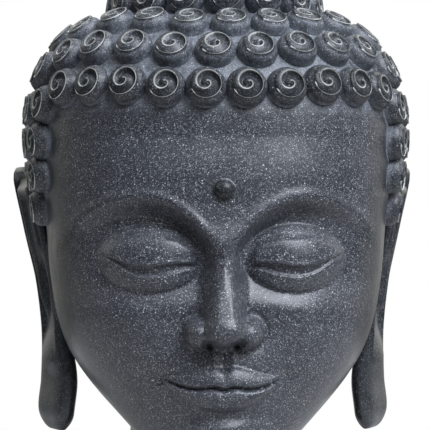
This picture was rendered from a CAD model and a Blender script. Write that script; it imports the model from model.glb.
"""Looks of the Buddha head: the fine carving of the face, ears and snail-shell curls, the dark
speckled stone with its pale wash, and a plain pale studio."""

import math

import bmesh
import bpy
import numpy as np
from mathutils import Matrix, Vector
from mathutils.geometry import delaunay_2d_cdt
from mathutils.kdtree import KDTree


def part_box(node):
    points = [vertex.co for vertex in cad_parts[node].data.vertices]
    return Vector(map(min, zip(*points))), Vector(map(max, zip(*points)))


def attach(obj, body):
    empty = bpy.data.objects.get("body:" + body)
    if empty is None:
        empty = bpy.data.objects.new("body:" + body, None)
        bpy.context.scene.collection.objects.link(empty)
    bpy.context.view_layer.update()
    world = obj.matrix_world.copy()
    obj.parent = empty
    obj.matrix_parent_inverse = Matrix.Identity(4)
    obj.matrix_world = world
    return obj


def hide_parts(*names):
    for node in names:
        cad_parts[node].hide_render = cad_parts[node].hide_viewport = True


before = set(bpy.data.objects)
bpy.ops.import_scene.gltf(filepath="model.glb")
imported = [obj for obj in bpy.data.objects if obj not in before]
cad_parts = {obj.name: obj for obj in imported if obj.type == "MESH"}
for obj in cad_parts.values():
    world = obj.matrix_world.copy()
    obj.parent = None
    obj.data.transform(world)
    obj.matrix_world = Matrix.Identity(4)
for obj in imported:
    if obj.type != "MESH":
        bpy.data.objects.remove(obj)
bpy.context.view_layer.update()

# The carving is worked out in units of a 380th of the height, about a millimetre each
HEIGHT_IN_UNITS = 380
low_corner, high_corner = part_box("buddha_head")
UNIT = (high_corner[2] - low_corner[2]) / HEIGHT_IN_UNITS

# Skull and neck, as in the solid: place along the list, height in front and behind, half width,
# depth in front and behind, squareness
SECTIONS = [
    (0.000, 236.0, 236, 105.5, 107.0, 112.0, 2.30),
    (0.140, 212.0, 212, 102.5, 110.0, 112.0, 2.30),
    (0.260, 190.0, 190, 99.5, 110.0, 110.0, 2.30),
    (0.420, 160.0, 160, 97.0, 107.0, 104.0, 2.30),
    (0.560, 132.0, 136, 92.5, 104.5, 95.0, 2.26),
    (0.680, 108.0, 120, 84.5, 102.0, 84.0, 2.20),
    (0.780, 87.0, 108, 72.5, 98.5, 75.0, 2.12),
    (0.850, 72.0, 99, 61.0, 93.5, 69.0, 2.08),
    (0.890, 63.5, 93, 54.0, 86.0, 66.0, 2.05),
    (0.920, 60.5, 88, 51.0, 76.0, 64.5, 2.00),
    (0.945, 62.0, 82, 50.0, 63.0, 63.5, 2.00),
    (0.965, 55.0, 70, 50.5, 56.0, 63.0, 2.00),
    (0.985, 30.0, 38, 53.5, 56.0, 64.0, 2.00),
    (1.000, 0.0, 0, 60.0, 62.0, 68.0, 2.00),
]
DOME_RISE = 82.0
DOME_POWER = 2 / 2.6
DOME_DEPTH_POWER = 1.15
NECK_FOLDS = [(44, 1.1), (24, 0.9)]  # height in front, depth

# The face's carving. Each line has (distance from the middle, height) keys, and each of the
# nose's lists (height, size) keys.
BROW_LINE = [
    (0, 180), (7, 182), (15, 190), (27, 198.5), (43, 202.5), (60, 200), (76, 192), (95, 176)]
SOCKET_DEPTH = [(0, 2), (9, 8), (17, 11.2), (36, 9.8), (60, 6.8), (80, 2), (94, 0)]
LID_LINE = [(10, 166.4), (19, 168), (28, 167.8), (39, 166.4), (50, 167.6), (60, 171.4), (70, 174)]
LID_FOLD = [(12, 170), (20, 177.5), (34, 181.5), (48, 181), (60, 177.5), (70, 174)]
LOWER_LID_LINE = [
    (12, 165.4), (19, 165.7), (28, 163.2), (39, 161.6), (50, 163.9), (60, 170), (68, 173.8)]
LID_THICKNESS = 2.1
LOWER_LID_THICKNESS = 1.5
EYE_MIDDLE = (39, 170.8)
EYE_RADII = (28.5, 18.5)
EYE_HEIGHT = 10.5
NOSE_HEIGHT = [
    (118, 0), (122.5, 0.6), (125.2, 7), (127, 16.5), (129.8, 23), (134, 25.6), (140, 24.2),
    (150, 19), (160, 14), (170, 9.6), (180, 5.6), (190, 2.4), (202, 0)]
NOSE_FLAT = [
    (120, 4.5), (135, 5.2), (142, 3.2), (160, 2.8), (172, 3.2), (182, 5), (192, 10), (202, 18)]
NOSE_FOOT = [
    (120, 14), (134, 16.5), (142, 15.5), (160, 14.5), (172, 13.5), (182, 17), (192, 27), (202, 38)]
LIP_LINE = [(0, 101.6), (6, 103), (14, 102), (22, 103), (33, 107.5)]
UPPER_LIP_TOP = [(0, 111.2), (5.5, 113.4), (13, 111.6), (22, 109), (33, 108.4)]
LOWER_LIP_BOTTOM = [(0, 89.6), (8, 90.4), (16, 93.6), (24, 99.4), (33, 106.6)]
LIP_REACH = 33
# Broad swells round the mouth, of the chin and of the cheeks, and the hollow under the lips:
# height, middle, radii
FACE_SWELLS = [
    (6.5, (0, 106), (46, 33)),
    (7.0, (0, 74), (30, 20)),
    (5.0, (54, 136), (46, 46)),
    (-2.6, (0, 87), (22, 7)),
]
URNA_LEVEL = 207.0
URNA_RADIUS = 5.6
URNA_HEIGHT = 4.2

# The head's mesh: a fine grid over the face, out to an angle in degrees and between two places
# down the list of sections, and coarse triangles round it
FACE_ANGLE = 62.0
FACE_ANGLE_STEP = 0.5
FACE_REACH = (-0.05, 0.93)
FACE_STEP = 0.004
COARSE_ANGLE_STEP = 4.0
COARSE_GAP = 3.0
DOME_ROWS = (-0.94, -0.09, 20)  # first place, last place and number of the coarse rows
SIDE_ROWS = (*FACE_REACH, 60)
NECK_ROWS = (0.945, 1.0, 14)
FLAT_SCALE = (1.8, 240)  # units for a degree round and for the whole way down, on average

# Rows of curls, as in the solid. The hair's edge has (height, degrees round from the front) keys,
# and each closed row of the skull a shift along itself and how far it falls at the temples.
CURL_SPACING = 22.0
ROW_SPACING = 22.0
BACK_SPACING = 18.5
FIRST_ROW = 261.3
NAPE_ROW = 103.0
HAIR_EDGE = [(100, 112), (190, 112), (200, 72), (218, 68), (236, 65), (250, 62)]
EAR_CLEARANCE = (-16.0, 46.0)
SKULL_ROWS = [(-0.43, 7.0), (-0.18, 5.5), (0.23, 4.0)]
ROW_WAVE = 2.5
CROWN_MIDDLE = 3.0
CROWN_FOOT = 297.0
CROWN_RADIUS = 57.0
CROWN_TOP = 371.2
CROWN_SKIRT = 12.0
CROWN_ANGLE_STEP = 5
CROWN_RINGS = 18
CROWN_ROW = 316.5
CROWN_SHIFTS = [0.15, 0.62, 0.10, 0.45]
ROUND = np.linspace(0, 2 * math.pi, 721)  # angles at which a closed row's line is worked out

# One curl, in units: a rounded wall under a crest that winds in from the rim and rises. The wall
# has (radius, height) keys, and the crest a radius and a height at so many degrees wound.
CURL_HEIGHT = 8.8
CURL_MIDDLE = 8.2
CURL_WALL = [(11.3, -2.6), (11.3, 0.8), (11.1, 2.6), (10.6, 4.3), (9.7, 5.8), (8.5, 6.7)]
CREST_RADII = [
    (0, 8.5), (40, 8.4), (90, 8.3), (180, 8.0), (270, 7.1), (360, 4.9), (450, 3.1), (540, 2.1),
    (620, 0.9)]
CREST_HEIGHTS = [(0, 6.7), (60, 7.3), (180, 7.7), (360, 8.0), (500, 8.2), (620, 8.3)]
CREST_END = 620.0
CREST_LIFT = 0.35
CREST_REACH = 1.6
CREST_LINES = [0.0, 0.13, 0.34, 0.60, 0.87]  # where mesh lines run between one turn and the next
GROOVE_DEPTH = 2.3
WALL_BULGE = 0.5
CURL_SEGMENTS = 28
# How much one curl differs from the next in turn, width, height and lean
TURN_SPREAD = 0.16
WIDTH_RANGE = (0.965, 1.0)
HEIGHT_RANGE = (0.93, 1.0)
LEAN_SPREAD = 0.025

# The ears, as in the solid: height above the lobe's tip, rear edge, front edge, the middle's
# distance out, thickness, and how many degrees it turns out
EAR_BOTTOM = 66.0
EAR_MIDDLE = 8.0
EAR_KEYS = [
    (0.0, 12.0, -6.0, 92.5, 13.0, 28.0),
    (10.0, 22.0, -14.0, 92.5, 13.5, 28.0),
    (30.0, 24.0, -15.0, 90.8, 13.5, 26.0),
    (60.0, 21.0, -12.0, 93.5, 12.0, 21.0),
    (90.0, 24.0, -15.0, 98.3, 11.0, 17.0),
    (120.0, 32.0, -18.0, 105.0, 10.5, 15.0),
    (145.0, 31.0, -15.0, 110.3, 10.0, 16.0),
    (152.0, 28.0, -9.0, 111.8, 9.5, 16.5),
    (157.0, 19.0, 0.0, 113.0, 9.0, 17.0),
]
EAR_HEIGHT = EAR_KEYS[-1][0]
EAR_RINGS = 84
EAR_FACE_POINTS = 34
EAR_BACK_POINTS = 14

# How far from a curl's middle the wash on the scalp starts to fade and is gone. It reaches further
# on the bare ring above the skull's last row.
WASH_FADE = (12.0, 14.5)
RING_WASH = 8.0
RING_LEVELS = (280, 290)
# Heights between which the dust on the curls grows from none to all
DUST_LEVELS = (264, 286)

# Colours of the stone, its grain, clean hollows, wash, specks and rubbed crests
DARK_STONE = (0.016, 0.018, 0.023, 1)
LIGHTER_STONE = (0.024, 0.027, 0.035, 1)
GRAIN = (0.068, 0.074, 0.090, 1)
CLEAN_STONE = (0.011, 0.013, 0.013, 1)
WASH = (0.175, 0.195, 0.225, 1)
SPECK = (0.62, 0.65, 0.66, 1)
CREST = (0.72, 0.74, 0.70, 1)

# Floor, lights and camera, in metres and degrees
FLOOR_RADIUS = 0.5
FLOOR_COLOUR = (0.45, 0.45, 0.45, 1)
SUN_COLOUR = (0.93, 0.97, 1.07)
CAMERA_DISTANCE = 0.97
CAMERA_TURN = -2.5
CAMERA_HEIGHT = 0.194
PICTURE_WIDTH = 430 * 0.000593  # pixels across, and metres in each at the middle of the head


def ramp(low, high, value):
    """0 below low, 1 above high, smooth between. It falls where low is the greater."""
    share = np.clip((value - low) / (high - low), 0.0, 1.0)
    return share * share * (3 - 2 * share)


def smooth_max(first, second, blend):
    """The greater of two, rounded where they cross."""
    share = np.clip(0.5 + 0.5 * (first - second) / blend, 0.0, 1.0)
    return second + (first - second) * share + blend * share * (1 - share)


def through(keys, value):
    """A smooth curve through (place, height) keys that never overshoots them."""
    place, height = np.array(keys, float).T
    step = np.diff(place)
    slope = np.diff(height) / step
    turn = np.zeros_like(place)
    weighted = (slope[:-1] * step[1:] + slope[1:] * step[:-1]) / (step[:-1] + step[1:])
    limit = 3 * np.minimum(abs(slope[:-1]), abs(slope[1:]))
    turn[1:-1] = np.where(slope[:-1] * slope[1:] > 0, np.clip(weighted, -limit, limit), 0)
    turn[0], turn[-1] = slope[0], slope[-1]
    value = np.clip(value, place[0], place[-1])
    k = np.clip(np.searchsorted(place, value, side="right") - 1, 0, len(place) - 2)
    t = (value - place[k]) / step[k]
    return (
        height[k] * (1 + 2 * t) * (1 - t) ** 2
        + turn[k] * step[k] * t * (1 - t) ** 2
        + height[k + 1] * t * t * (3 - 2 * t)
        + turn[k + 1] * step[k] * t * t * (t - 1)
    )


def mound(x, z, at, radii, power=2.0):
    """A smooth rise of height 1 over an oval patch, 0 outside it."""
    reach = ((x - at[0]) / radii[0]) ** 2 + ((z - at[1]) / radii[1]) ** 2
    return np.clip(1 - reach, 0, None) ** power


def ridge_line(offset, width):
    """A soft ridge of height 1 along a line, at a distance from it."""
    return np.exp(-((offset / width) ** 2))


def lid_line(ax):
    """Height of the edge of the lowered upper lid."""
    return through(LID_LINE, ax)


def lip_line(ax):
    """Height of the line between the lips, which rises at its ends."""
    return through(LIP_LINE, ax)


def brow_and_eye(ax, z):
    """Brow arch, socket, eyeball and lowered lids."""
    below = through(BROW_LINE, ax) - z
    out = -through(SOCKET_DEPTH, ax) * ramp(-1, 10.5, below) * ramp(143, 168, z + 0.12 * (ax - 30))
    out += 1.0 * ridge_line(below + 2.4, 3.0) * ramp(4, 14, ax) * ramp(92, 66, ax)
    out += EYE_HEIGHT * mound(ax, z, EYE_MIDDLE, EYE_RADII, 0.8)
    # The upper lid ends in a soft lip over a thin dark line, the lower lid in a finer one
    inside = ramp(12.5, 18.5, ax) * ramp(67, 60, ax)
    above = z - lid_line(ax)
    fold = through(LID_FOLD, ax)
    out += inside * LID_THICKNESS * ramp(-0.6, 0.6, above) * ramp(2.5, -1.5, z - fold)
    out += inside * 0.55 * ridge_line(above - 1.3, 0.9)
    under = through(LOWER_LID_LINE, ax) - z
    lower = LOWER_LID_THICKNESS * ramp(-0.5, 0.6, under) * ramp(11, 2, under)
    return out + inside * (lower + 0.5 * ridge_line(under - 1.1, 0.9))


def nose(ax, x, z):
    """Ridge, round tip, two wings and two nostrils."""
    flat, foot = through(NOSE_FLAT, z), through(NOSE_FOOT, z)
    ridge = through(NOSE_HEIGHT, z) * (1 - ramp(0, 1, (ax - flat) / (foot - flat)))
    tip = 26.2 * mound(x, z, (0, 134.5), (11.5, 9.5), 0.32)
    wing = 16 * mound(ax, z, (13, 131.8), (8.6, 9), 0.5)
    # Where nothing rises, the rounding alone leaves 4 / 3
    whole = smooth_max(smooth_max(ridge, wing, 4), tip, 3) - 4 / 3
    # A shallow crease parts the wing from the cheek
    crease = ((ax - 13) / 10) ** 2 + ((z - 132) / 10.5) ** 2
    out = np.clip(whole, 0, None) * ramp(206, 196, z)
    out -= 0.9 * ridge_line(crease - 1.12, 0.2) * ramp(14, 20, ax)
    return out - 7 * mound(ax, z, (7.4, 126.4), (4.8, 3.2), 1.2)


def mouth(ax, z):
    """Two full lips with soft edges, the groove above them and the hollows at their ends."""
    groove = ramp(125, 120, z) * ramp(111.5, 115, z)
    out = groove * (-1.3 * ridge_line(ax, 2.8) + 0.6 * ridge_line(ax - 5, 1.7))
    line = lip_line(ax)
    top, bottom = through(UPPER_LIP_TOP, ax), through(LOWER_LIP_BOTTOM, ax)
    taper = np.clip(1 - (ax / LIP_REACH) ** 2, 0, None) ** 0.42
    up = np.clip((z - line) / np.maximum(top - line, 0.1), 0, 1.3)
    upper = (3.2 * (1 - np.clip(up, 0, 1) ** 1.8) + 1.7) * ramp(1.14, 0.9, up)
    down = np.clip((line - z) / np.maximum(line - bottom, 0.1), 0, 1.3)
    swell = np.clip(1 - (np.abs(down - 0.42) / 0.62) ** 2.2, 0, None)
    lower = (4.5 * swell + 1.2) * ramp(1.12, 0.9, down)
    out += taper * np.where(z > line, upper, lower)
    out -= 3.0 * ridge_line(z - line, 1.2) * ramp(35, 28, ax)
    return out - 2.0 * mound(ax, z, (34, 108), (7, 7))


def relief(x, z):
    """How far the face stands forward of the plain oval, at a place across and up."""
    ax = np.abs(x)
    out = brow_and_eye(ax, z) + nose(ax, x, z) + mouth(ax, z)
    for height, at, radii in FACE_SWELLS:
        out += height * mound(ax, z, at, radii)
    return out + URNA_HEIGHT * mound(x, z, (0, URNA_LEVEL), (URNA_RADIUS, URNA_RADIUS), 0.5)


def section(t):
    """Heights, half width, depths and squareness of the section at t."""
    keys = np.array(SECTIONS)
    return [through(keys[:, [0, k]], t) for k in range(1, 7)]


def head_point(phi, t, carved=True):
    """The head's surface, phi round from the front and t down it, below 0 over the dome."""
    phi, t = np.broadcast_arrays(np.asarray(phi, float), np.asarray(t, float))
    front_z, back_z, width, front, back, power = section(np.clip(t, 0, 1))
    climb = np.clip(-t, 0, 1) * math.pi / 2
    shrink = np.cos(climb) ** DOME_DEPTH_POWER
    across, along = np.sin(phi), -np.cos(phi)
    depth = np.where(along < 0, front, back)
    reach = (np.abs(across / width) ** power + np.abs(along / depth) ** power) ** (-1 / power)
    x, y = reach * across * np.cos(climb) ** DOME_POWER, reach * along * shrink
    share = np.clip((y / np.maximum(shrink, 1e-6) + front) / (front + back), 0, 1)
    z = front_z + (back_z - front_z) * share + DOME_RISE * np.sin(climb) ** DOME_POWER
    if carved:
        y = y - relief(x, z) * ramp(-18, -45, y) * ramp(0.93, 0.90, t) * ramp(-0.3, -0.1, t)
        # Two shallow folds round the front of the neck
        for level, deep in NECK_FOLDS:
            fold = deep * ridge_line(z - level - 0.0012 * x * x, 2.2) * ramp(0.955, 0.97, t)
            x, y = x * (1 - fold / 60), y * (1 - fold / 60)
    return np.stack([x, y, z], -1)


def crown_point(phi, climb):
    """The crown's surface, climb running from 0 at its foot to 1 at its top."""
    angle = climb * math.pi / 2
    reach = CROWN_RADIUS * np.cos(angle) ** DOME_POWER
    z = CROWN_FOOT + (CROWN_TOP - CROWN_FOOT) * np.sin(angle) ** DOME_POWER
    return np.stack(np.broadcast_arrays(reach * np.sin(phi), CROWN_MIDDLE - reach * np.cos(phi), z), -1)


def faces_between(rows, count):
    """Quads between neighbouring closed rings of points."""
    faces = []
    for r in range(rows - 1):
        for c in range(count):
            d = (c + 1) % count
            faces.append((r * count + c, (r + 1) * count + c, (r + 1) * count + d, r * count + d))
    return faces


def coarse_places():
    """Angle round and place down of the points outside the face's fine grid."""
    places = []
    for phi in np.arange(-180, 180.1, COARSE_ANGLE_STEP):
        places += [(phi, t) for t in (*np.linspace(*DOME_ROWS), *np.linspace(*NECK_ROWS))]
        if abs(phi) > FACE_ANGLE + COARSE_GAP:
            places += [(phi, t) for t in np.linspace(*SIDE_ROWS)]
    return places


def head_mesh():
    """Skull, face and neck: a fine grid over the face, and coarser triangles round the rest."""
    columns = np.round(np.arange(-FACE_ANGLE, FACE_ANGLE + 0.01, FACE_ANGLE_STEP), 4)
    rows = np.linspace(*FACE_REACH, round((FACE_REACH[1] - FACE_REACH[0]) / FACE_STEP) + 1)
    places = [(phi, t) for t in rows for phi in columns]
    width = len(columns)
    faces = [
        (r * width + c, (r + 1) * width + c, (r + 1) * width + c + 1, r * width + c + 1)
        for r in range(len(rows) - 1)
        for c in range(width - 1)
    ]
    around = [k for k, (phi, t) in enumerate(places) if abs(phi) == FACE_ANGLE or t in FACE_REACH]
    start = len(places)
    places += coarse_places()
    around += range(start, len(places))
    flat = [Vector((places[k][0] * FLAT_SCALE[0], -places[k][1] * FLAT_SCALE[1])) for k in around]
    for face in delaunay_2d_cdt(flat, [], [], 0, 0.001)[2]:
        corners = [around[k] for k in face]
        phi, t = np.mean([places[k] for k in corners], axis=0)
        if abs(phi) > FACE_ANGLE or not FACE_REACH[0] < t < FACE_REACH[1]:
            faces.append(tuple(corners))
    phi, t = np.array(places, float).T
    points = [tuple(p) for p in head_point(np.radians(phi), t)]
    # The two edges at the back are one line of points
    index = {(round(float(p), 3), round(float(s), 5)): k for k, (p, s) in enumerate(places)}
    seam = [index[(180.0, round(float(s), 5))] if p == -180 else k for k, (p, s) in enumerate(places)]
    faces = [tuple(seam[k] for k in face) for face in faces]

    def level_ring(level):
        ring = [k for k, (p, s) in enumerate(places) if abs(s - level) < 1e-6 and p > -180]
        return sorted(ring, key=lambda k: places[k][0])

    top = level_ring(DOME_ROWS[0])
    points.append(tuple(head_point(0.0, -1.0)))
    faces += [(len(points) - 1, top[k - 1], top[k]) for k in range(len(top))]
    faces.append(tuple(level_ring(NECK_ROWS[1])))
    return points, faces


def crown_mesh():
    """A dome whose flat bottom lies inside the skull."""
    phi = np.radians(np.arange(1, 361, CROWN_ANGLE_STEP))
    rings = [crown_point(phi, climb) for climb in np.linspace(0.96, 0, CROWN_RINGS)]
    rings.append(rings[-1] - (0, 0, CROWN_SKIRT))
    points = [tuple(p) for ring in rings for p in ring]
    faces = faces_between(len(rings), len(phi))
    last = len(points) - len(phi)
    points.append((0, CROWN_MIDDLE, CROWN_TOP))
    faces += [(len(points) - 1, c, (c + 1) % len(phi)) for c in range(len(phi))]
    faces.append(tuple(last + c for c in reversed(range(len(phi)))))
    return points, faces


def ear_carving(u, level, front, rear):
    """Rise of the ear's outer face: the hollow within the rim, inner fold, bowl and full lobe."""
    inward = np.minimum(np.minimum(u - front, rear - u), (EAR_HEIGHT - level) * 0.85)
    upper = ramp(40, 66, level)
    out = -4.6 * ramp(2.5, 6.5, inward) * upper
    out += 3.6 * ridge_line(inward - 12.5, 3.6) * upper * ramp(60, 80, level)
    out -= 3.2 * mound(u, level, (-1, 88), (10, 24), 1.0)
    out += 2.4 * mound(u, level, (1, 50), (20, 22))
    return out


def ear_mesh(side):
    """A long ear with a rolled rim round a hollow, and a full lobe that hangs free."""
    keys = np.array(EAR_KEYS)
    shares = 0.5 - 0.5 * np.cos(np.linspace(0.25, math.pi - 0.25, EAR_FACE_POINTS))
    around = [(share, 1) for share in (0, *shares, 1)]
    around += [(share, -1) for share in np.linspace(0.96, 0.04, EAR_BACK_POINTS)]
    levels = EAR_HEIGHT * (0.5 + 0.5 * np.cos(np.linspace(0.10, math.pi - 0.10, EAR_RINGS)))
    rings = []
    for level in levels:
        rear, front, out, thick, flare = [float(through(keys[:, [0, k]], level)) for k in range(1, 6)]
        lean = math.radians(flare)
        end = (1 - abs(2 * level / EAR_HEIGHT - 1) ** 16) ** 0.5
        ring = []
        for share, face in around:
            u = front + share * (rear - front)
            w = face * thick / 2 * end * (1 - abs(2 * share - 1) ** 4) ** 0.5
            if face > 0:
                w += float(ear_carving(u, level, front, rear))
            x = out + u * math.sin(lean) + w * math.cos(lean)
            y = EAR_MIDDLE + u * math.cos(lean) - w * math.sin(lean)
            ring.append((side * x, y, EAR_BOTTOM + level))
        rings.append(ring)
    points = [p for ring in rings for p in ring]
    count = len(around)
    faces = faces_between(len(rings), count)
    for ring, low in ((0, False), (len(rings) - 1, True)):
        hub = np.mean(rings[ring], axis=0) + (0, 0, -0.3 if low else 0.3)
        points.append(tuple(hub))
        for c in range(count):
            a, b = ring * count + c, ring * count + (c + 1) % count
            faces.append((len(points) - 1, b, a) if low else (len(points) - 1, a, b))
    return points, faces


def lengths(track):
    """Distance from a line of points' start to each of them."""
    return np.concatenate([[0], np.cumsum(np.linalg.norm(np.diff(track, axis=0), axis=1))])


def scalp_point(phi, t):
    """The skull's surface without the face's carving."""
    return head_point(phi, t, carved=False)


def scalp_level(phi, level):
    """Where down the scalp, at an angle round it, a height is reached."""
    table = np.linspace(-1, 0.93, 500)
    return np.interp(-level, -scalp_point(phi, table)[:, 2], table)


def curl_place(surface, phi, t):
    """A curl's middle on a surface, the direction out of the surface, and the one along the row."""
    step = 0.01
    along = surface(phi + step, t) - surface(phi - step, t)
    up = surface(phi, t - step) - surface(phi, t + step)
    along /= np.linalg.norm(along)
    outward = np.cross(along, up)
    return surface(phi, t), outward / np.linalg.norm(outward), along


def full_row(surface, t, shift):
    """Curls at equal distances along a closed line, which is at t at each of the angles round."""
    t = np.broadcast_to(t, ROUND.shape)
    length = lengths(surface(ROUND, t))
    number = 2 * round(length[-1] / CURL_SPACING / 2)
    stops = (np.arange(number) + shift) % number * length[-1] / number
    return [curl_place(surface, np.interp(s, length, ROUND), np.interp(s, length, t)) for s in stops]


def back_row(level, parity):
    """Curls along a level line round the back, from one temple to the other, but for the ears."""
    start = math.radians(np.interp(level, *np.array(HAIR_EDGE, float).T))
    phi = np.linspace(start, 2 * math.pi - start, 361)
    t = np.array([scalp_level(angle, level) for angle in phi])
    length = lengths(scalp_point(phi, t))
    number = round(length[-1] / CURL_SPACING)
    number -= (number + parity) % 2
    stops = np.arange(number + 1) * length[-1] / number
    angles = np.interp(stops, length, phi)
    row = [curl_place(scalp_point, angle, scalp_level(angle, level)) for angle in angles]
    if level > EAR_BOTTOM + EAR_HEIGHT:
        return row
    front, rear = EAR_CLEARANCE
    return [place for place in row if not front < place[0][1] < rear]


def curl_places():
    """Place, outward direction and row direction of every curl.

    The skull's closed rows dip at the temples, the rows below them run round the back alone, and
    the crown's rows climb to a single curl on its top.
    """
    places = []
    table = np.linspace(0, -1, 600)
    track = scalp_point(math.pi / 3, table)
    first = np.interp(FIRST_ROW, track[:, 2], lengths(track))
    for row, (shift, fall) in enumerate(SKULL_ROWS):
        level = np.interp(first + row * ROW_SPACING, lengths(track), track[:, 2])
        wave = ROW_WAVE * ramp(0.99, 0.85, np.cos(ROUND))
        wave -= (ROW_WAVE + fall) * ramp(0.66, 0.42, np.cos(ROUND))
        places += full_row(scalp_point, np.interp(level + wave, track[:, 2], table), shift)
    top = FIRST_ROW - SKULL_ROWS[0][1] - BACK_SPACING
    for row, level in enumerate(np.arange(top, NAPE_ROW, -BACK_SPACING)):
        places += back_row(level, row % 2)
    table = np.linspace(0, 1, 400)
    track = crown_point(0.0, table)
    length = lengths(track)
    first = np.interp(CROWN_ROW, track[:, 2], length)
    for up, shift in zip(np.linspace(first, length[-1], len(CROWN_SHIFTS) + 1), CROWN_SHIFTS):
        places += full_row(lambda phi, t: crown_point(phi, -t), -np.interp(up, length, table), shift)
    summit = (0.0, CROWN_MIDDLE, CROWN_TOP), (0.0, 0.0, 1.0), (1.0, 0.0, 0.0)
    places.append(tuple(np.array(vector) for vector in summit))
    return places


def groove_depth(part, turned):
    """Depth of the groove between two turns, part of a turn in from the crest."""
    dug = float(ramp(10, 110, turned - part * 360))
    depth = math.sin(math.pi * min(part / 0.72, 1)) * dug * GROOVE_DEPTH
    return depth * (1 - 0.45 * float(ramp(300, 560, turned)))


def crest_height(part, turned):
    """Height of a curl's point, part of a turn in from the crest."""
    bulge = math.sin(math.pi * max((part - 0.4) / 0.6, 0)) * WALL_BULGE
    height = float(through(CREST_HEIGHTS, turned)) - groove_depth(part, turned) + bulge
    return height + (CREST_LIFT * float(ramp(0, 50, turned)) if part == 0 else 0)


def curl_shape():
    """One curl about its own middle: points, faces, and each point's nearness to the crest and depth.

    Mesh lines run along the winding crest, and each ends where the one a whole turn further in
    starts. Lines that haven't left the rim yet lie on it, and those wound up lie in the middle.
    """
    per_turn = len(CREST_LINES)
    ends = 1 + CREST_END / 360
    lines = [turn + part for turn in range(3) for part in CREST_LINES if turn + part < ends]
    points, hollow = [], []
    angles = 2 * math.pi * np.arange(CURL_SEGMENTS) / CURL_SEGMENTS

    def place(radius, angle, height):
        # The crest leaves the rim at the left and winds down, right and up
        return -radius * np.cos(angle), -radius * np.sin(angle), height

    def add(radius, angle, height, is_hollow=0.0):
        points.append(place(radius, angle, height))
        hollow.append(is_hollow)
        return len(points) - 1

    rings = [[add(r, a, h) for a in angles] for r, h in CURL_WALL]
    middle = add(0.0, 0.0, CURL_MIDDLE, 0.3)
    grid = {}
    for number, line in enumerate(lines):
        for j in range(CURL_SEGMENTS + 1):
            wound = line + j / CURL_SEGMENTS
            if wound <= 1 + 1e-9:
                grid[number, j] = rings[-1][j % CURL_SEGMENTS]
            elif wound >= ends - 1e-9:
                grid[number, j] = middle
            elif j == CURL_SEGMENTS and number + per_turn < len(lines):
                grid[number, j] = None
            else:
                turned = (wound - 1) * 360
                part = line - math.floor(line)
                radius = float(through(CREST_RADII, turned))
                depth = groove_depth(part, turned) / GROOVE_DEPTH
                angle = angles[j % CURL_SEGMENTS]
                grid[number, j] = add(radius, angle, crest_height(part, turned), depth)
    for number in range(len(lines)):
        if grid[number, CURL_SEGMENTS] is None:
            grid[number, CURL_SEGMENTS] = grid[number + per_turn, 0]
    faces = faces_between(len(rings), CURL_SEGMENTS)
    for number in range(-1, len(lines)):
        for j in range(CURL_SEGMENTS):
            quad = []
            for n, k in ((number, j), (number + 1, j), (number + 1, j + 1), (number, j + 1)):
                if n < 0:
                    corner = rings[-1][k % CURL_SEGMENTS]
                elif n == len(lines):
                    corner = middle
                else:
                    corner = grid[n, k]
                if corner not in quad:
                    quad.append(corner)
            if len(quad) > 2:
                faces.append(tuple(quad))
    faces.append(tuple(reversed(rings[0])))
    points = np.array(points)
    turned = np.linspace(25, CREST_END - 10, 500)
    heights = through(CREST_HEIGHTS, turned) + CREST_LIFT
    line = np.stack(place(through(CREST_RADII, turned), np.radians(turned), heights), -1)
    away = np.linalg.norm(points[:, None] - line[None], axis=2).min(axis=1)
    return points, faces, np.clip(1 - away / CREST_REACH, 0, 1), np.array(hollow)


def mesh_of(name, points, faces):
    """A mesh in metres from points in units, its faces pointing out."""
    mesh = bpy.data.meshes.new(name)
    mesh.from_pydata([tuple(UNIT * float(v) for v in p) for p in points], [], faces)
    work = bmesh.new()
    work.from_mesh(mesh)
    bmesh.ops.delete(work, geom=[v for v in work.verts if not v.link_faces], context="VERTS")
    bmesh.ops.recalc_face_normals(work, faces=work.faces)
    work.to_mesh(mesh)
    work.free()
    return mesh


def add_object(name, mesh):
    thing = bpy.data.objects.new(name, mesh)
    bpy.context.scene.collection.objects.link(thing)
    return thing


def united(name, solids):
    """One closed mesh from several overlapping solids."""
    things = [add_object(f"{name}_{k}", mesh_of(name, *solid)) for k, solid in enumerate(solids)]
    for thing in things[1:]:
        join = things[0].modifiers.new("join", "BOOLEAN")
        join.operation, join.solver, join.object = "UNION", "MANIFOLD", thing
    evaluated = things[0].evaluated_get(bpy.context.evaluated_depsgraph_get())
    mesh = bpy.data.meshes.new_from_object(evaluated)
    for thing in things:
        bpy.data.objects.remove(thing, do_unlink=True)
    mesh.name = name
    return mesh


def set_values(mesh, name, values):
    """A number for each point, read by the material."""
    layer = mesh.attributes.new(name, "FLOAT", "POINT")
    layer.data.foreach_set("value", np.asarray(values, np.float32))


def finish_piece(thing, stone, sharp):
    """Smooth faces but for edges over an angle, the stone, and the piece's place in the frame."""
    thing.data.shade_smooth()
    thing.data.set_sharp_from_angle(angle=math.radians(sharp))
    thing.data.materials.clear()
    thing.data.materials.append(stone)
    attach(thing, "root")
    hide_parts("buddha_head")


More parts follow.
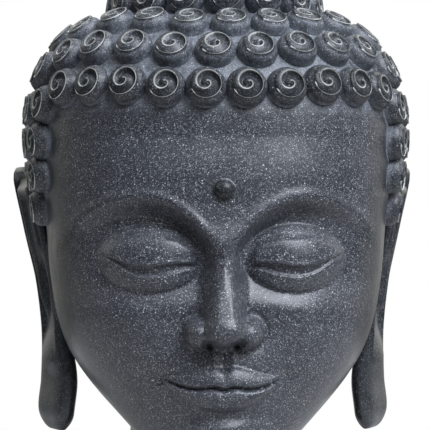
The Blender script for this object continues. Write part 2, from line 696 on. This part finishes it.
def make_head(places, stone):
    """Face, skull, neck, crown and ears in one closed mesh."""
    mesh = united("carved_head", [head_mesh(), crown_mesh(), ear_mesh(-1), ear_mesh(1)])
    points = np.empty(len(mesh.vertices) * 3)
    mesh.vertices.foreach_get("co", points)
    points = points.reshape(-1, 3) / UNIT
    tree = KDTree(len(places))
    for k, (at, _, _) in enumerate(places):
        tree.insert(at, k)
    tree.balance()
    near = np.array([tree.find(p)[2] for p in points])
    x, y, z = np.abs(points[:, 0]), points[:, 1], points[:, 2]
    full, gone = WASH_FADE
    set_values(mesh, "wash", 0.85 * ramp(gone + RING_WASH * ramp(*RING_LEVELS, z), full, near))
    front = ramp(-50, -70, y)
    rubbed = ridge_line(z - lid_line(x) - 0.9, 0.8) * ramp(14, 20, x) * ramp(66, 60, x)
    rubbed += 0.5 * ridge_line(z - lip_line(x) - 1.0, 0.7) * ramp(31, 26, x)
    set_values(mesh, "crest", 0.6 * rubbed * front)
    set_values(mesh, "rubbed", np.full(len(points), 0.6))
    # The sides are smoother and less speckled than the front
    set_values(mesh, "side", ramp(-85, -50, y) * (1 - ramp(gone, full, near)))
    # The small boss above the brows is clean and dark
    boss = ramp(URNA_RADIUS + 0.6, URNA_RADIUS - 0.4, np.hypot(x, z - URNA_LEVEL))
    set_values(mesh, "bare", boss * front)
    finish_piece(add_object("carved_head", mesh), stone, 60)


def make_curls(places, stone):
    """Every curl of the hair, each a closed shell set into the scalp."""
    shape, faces, crest, hollow = curl_shape()
    foot = ramp(2.6, 0.2, shape[:, 2])
    # The faces within the rims are clean and dark, and the walls less so
    bare = np.where(np.arange(len(shape)) < len(CURL_WALL) * CURL_SEGMENTS, 0.4, 1.0)
    # The lower rims are rubbed palest
    rubbed = 0.3 + 0.7 * ramp(0, -7, shape[:, 1])
    wall = ramp(8.4, 9.4, np.hypot(shape[:, 0], shape[:, 1]))
    chance = np.random.default_rng(7)
    points, all_faces, wash, clean = [], [], [], []
    for at, outward, along in places:
        side = np.cross(outward, along)
        turn = chance.normal(0, TURN_SPREAD)
        wide, tall = chance.uniform(*WIDTH_RANGE), chance.uniform(*HEIGHT_RANGE)
        lean_a, lean_b = chance.normal(0, LEAN_SPREAD, 2)
        x = (shape[:, 0] * math.cos(turn) - shape[:, 1] * math.sin(turn)) * wide
        y = (shape[:, 0] * math.sin(turn) + shape[:, 1] * math.cos(turn)) * wide
        z = np.minimum(shape[:, 2] * tall + lean_a * x + lean_b * y, CURL_HEIGHT)
        base = len(points) * len(shape)
        points.append(at + np.outer(x, along) + np.outer(y, side) + np.outer(z, outward))
        all_faces += [tuple(base + k for k in face) for face in faces]
        upper = float(ramp(*DUST_LEVELS, at[2]))
        dust = 0.45 * upper + chance.uniform(0, 0.15)
        wash.append(np.clip(0.9 * foot + dust * wall + 0.2 * hollow, 0, 1))
        clean.append(bare * (1 - 0.6 * upper))
    mesh = mesh_of("hair_curls", np.concatenate(points), all_faces)
    set_values(mesh, "crest", np.tile(crest, len(places)))
    set_values(mesh, "bare", np.concatenate(clean))
    set_values(mesh, "rubbed", np.tile(rubbed, len(places)))
    set_values(mesh, "wash", np.concatenate(wash))
    finish_piece(add_object("hair_curls", mesh), stone, 62)


class Nodes:
    """Short calls to build a material's nodes."""

    def __init__(self, tree):
        self.tree = tree

    def add(self, kind, inputs=(), **settings):
        node = self.tree.nodes.new("ShaderNode" + kind)
        for name, value in settings.items():
            setattr(node, name, value)
        for name, value in dict(inputs).items():
            if isinstance(value, bpy.types.NodeSocket):
                self.tree.links.new(value, node.inputs[name])
            else:
                node.inputs[name].default_value = value
        return node

    def math(self, operation, first, second=0.0, clamp=False):
        return self.add("Math", {0: first, 1: second}, operation=operation, use_clamp=clamp).outputs[0]

    def product(self, first, second):
        return self.math("MULTIPLY", first, second)

    def range(self, value, low, high, to_low=0.0, to_high=1.0):
        inputs = {"Value": value, "From Min": low, "From Max": high}
        inputs |= {"To Min": to_low, "To Max": to_high}
        return self.add("MapRange", inputs, interpolation_type="SMOOTHSTEP").outputs["Result"]

    def point_value(self, name):
        return self.add("Attribute", attribute_name=name).outputs["Fac"]

    def noise(self, place, scale, detail=2.0, roughness=0.5):
        inputs = {"Vector": place, "Scale": scale, "Detail": detail, "Roughness": roughness}
        return self.add("TexNoise", inputs).outputs[0]

    def mix(self, factor, first, second):
        return self.add("Mix", {"Factor": factor, 6: first, 7: second}, data_type="RGBA").outputs[2]


def pale_specks(n, place, scale, size, share):
    """Round specks, each with its own brightness, in the cells whose chance is over a share."""
    cells = n.add("TexVoronoi", {"Vector": place, "Scale": scale}, feature="F1")
    chance = n.add("SeparateColor", {"Color": cells.outputs["Color"]})
    dot = n.range(cells.outputs["Distance"], size, size * 0.55)
    kept = n.range(chance.outputs["Red"], share, share + 0.05)
    return n.product(n.product(dot, kept), n.range(chance.outputs["Green"], 0, 1, 0.25, 1))


def stone_material():
    """Dark cast stone: fine grain, pale specks, a rubbed pale line along the crests, clean dark
    hollows within the curls, and a bluish wash left between them."""
    material = bpy.data.materials.new("dark_speckled_stone")
    material.use_nodes = True
    tree = material.node_tree
    shader = tree.nodes["Principled BSDF"]
    n = Nodes(tree)
    place = n.add("TexCoord").outputs["Object"]
    crest, wash, bare = n.point_value("crest"), n.point_value("wash"), n.point_value("bare")
    rubbed, side = n.point_value("rubbed"), n.point_value("side")
    broad = n.noise(place, 38.0, 4.0, 0.6)
    grain = n.noise(place, 1000.0, 3.0, 0.65)
    patches = n.noise(place, 260.0, 3.0, 0.6)

    fine = n.product(pale_specks(n, place, 1400.0, 0.46, 0.25), 0.6)
    coarse = pale_specks(n, place, 620.0, 0.27, 0.60)
    speck = n.product(n.math("MAXIMUM", fine, coarse), n.range(patches, 0.30, 0.65, 0.45, 1))
    speck = n.product(speck, n.range(bare, 0, 1, 1, 0.45))
    speck = n.product(speck, n.range(side, 0, 1, 1, 0.4))

    colour = n.mix(n.range(broad, 0.35, 0.7), DARK_STONE, LIGHTER_STONE)
    grey = n.product(n.range(grain, 0.42, 0.68, 0, 0.7), n.range(bare, 0, 1, 1, 0.25))
    colour = n.mix(grey, colour, GRAIN)
    clean = n.math("MAXIMUM", n.product(bare, 0.7), n.product(side, 0.6))
    colour = n.mix(clean, colour, CLEAN_STONE)
    blotches = n.math("ADD", patches, n.product(grain, 0.4))
    dusted = n.product(wash, n.range(blotches, 0.5, 0.85, 0.35, 1))
    colour = n.mix(n.product(dusted, 0.8), colour, WASH)
    colour = n.mix(n.product(speck, 0.9), colour, SPECK)
    worn = n.range(n.math("ADD", patches, n.product(grain, 0.3)), 0.42, 0.66, 0.2, 1)
    line = n.math("MULTIPLY", n.range(crest, 0.56, 0.82), worn, clamp=True)
    colour = n.mix(n.product(line, n.product(rubbed, 0.95)), colour, CREST)
    tree.links.new(colour, shader.inputs["Base Color"])
    tree.links.new(n.range(bare, 0, 1, 0.5, 0.25), shader.inputs["Specular IOR Level"])

    rough = n.range(broad, 0.3, 0.7, 0.36, 0.46)
    rough = n.math("SUBTRACT", rough, n.product(side, 0.1))
    rough = n.math("ADD", rough, n.product(dusted, 0.25), clamp=True)
    rough = n.math("ADD", rough, n.product(speck, 0.2), clamp=True)
    tree.links.new(rough, shader.inputs["Roughness"])

    height = n.math("ADD", n.product(grain, 0.55), n.product(speck, 0.5))
    fine_bump = n.add("Bump", {"Strength": 0.35, "Distance": 0.0003, "Height": height})
    inputs = {"Strength": 0.35, "Distance": 0.0012, "Height": n.noise(place, 70.0, 3.0)}
    soft_bump = n.add("Bump", {**inputs, "Normal": fine_bump.outputs["Normal"]})
    tree.links.new(soft_bump.outputs["Normal"], shader.inputs["Normal"])
    return material


def plain_material(name, colour, roughness):
    material = bpy.data.materials.new(name)
    material.use_nodes = True
    shader = material.node_tree.nodes["Principled BSDF"]
    shader.inputs["Base Color"].default_value = colour
    shader.inputs["Roughness"].default_value = roughness
    return material


def make_floor():
    """A round pale floor, which ends just below the picture."""
    work = bmesh.new()
    bmesh.ops.create_circle(work, cap_ends=True, radius=FLOOR_RADIUS, segments=128)
    mesh = bpy.data.meshes.new("floor")
    work.to_mesh(mesh)
    work.free()
    floor = add_object("floor", mesh)
    mesh.materials.append(plain_material("pale_floor", FLOOR_COLOUR, 0.9))


def aim(thing, at):
    direction = Vector(at) - thing.location
    thing.rotation_euler = direction.to_track_quat("-Z", "Y").to_euler()


def make_sun(name, toward, power, spread):
    """A soft, faintly cool distant light that comes from a direction, so many degrees across."""
    light = bpy.data.lights.new(name, "SUN")
    light.energy = power
    light.color = SUN_COLOUR
    light.angle = math.radians(spread)
    thing = bpy.data.objects.new(name, light)
    bpy.context.scene.collection.objects.link(thing)
    thing.location = toward
    aim(thing, (0, 0, 0))


def make_studio():
    """White surroundings, brighter behind the head, and a soft key light from above on the right."""
    world = bpy.data.worlds.new("studio")
    bpy.context.scene.world = world
    world.use_nodes = True
    background = world.node_tree.nodes["Background"]
    n = Nodes(world.node_tree)
    direction = n.add("SeparateXYZ", {"Vector": n.add("TexCoord").outputs["Generated"]})
    glow = n.range(direction.outputs["Y"], -0.1, 0.4, 0.15, 1.6)
    glow = n.product(glow, n.range(direction.outputs["X"], -0.8, 0.8, 0.7, 1.0))
    glow = n.product(glow, n.range(direction.outputs["Z"], -0.3, 0.4, 0.08, 1.0))
    seen = n.add("LightPath").outputs["Is Camera Ray"]
    colour = n.mix(seen, (1.0, 0.99, 0.95, 1), (1, 1, 1, 1))
    world.node_tree.links.new(n.math("MAXIMUM", glow, seen), background.inputs["Strength"])
    world.node_tree.links.new(colour, background.inputs["Color"])
    make_sun("key", (0.7, -0.85, 1.05), 5.3, 42)
    make_sun("fill", (-0.4, -1.0, 1.5), 0.9, 60)
    bpy.context.scene.view_settings.view_transform = "Standard"


def make_camera():
    """Level with the eyes, close enough that the crown and the neck run out of the picture."""
    turn = math.radians(CAMERA_TURN)
    camera = bpy.data.objects.new("camera", bpy.data.cameras.new("camera"))
    bpy.context.scene.collection.objects.link(camera)
    camera.location = (CAMERA_DISTANCE * math.sin(turn), -CAMERA_DISTANCE * math.cos(turn), CAMERA_HEIGHT)
    aim(camera, (0, 0, CAMERA_HEIGHT))
    camera.data.lens = camera.data.sensor_width * CAMERA_DISTANCE / PICTURE_WIDTH
    camera.data.clip_end = 100
    bpy.context.scene.camera = camera


stone = stone_material()
places = curl_places()
make_head(places, stone)
make_curls(places, stone)
make_floor()
make_studio()
make_camera()
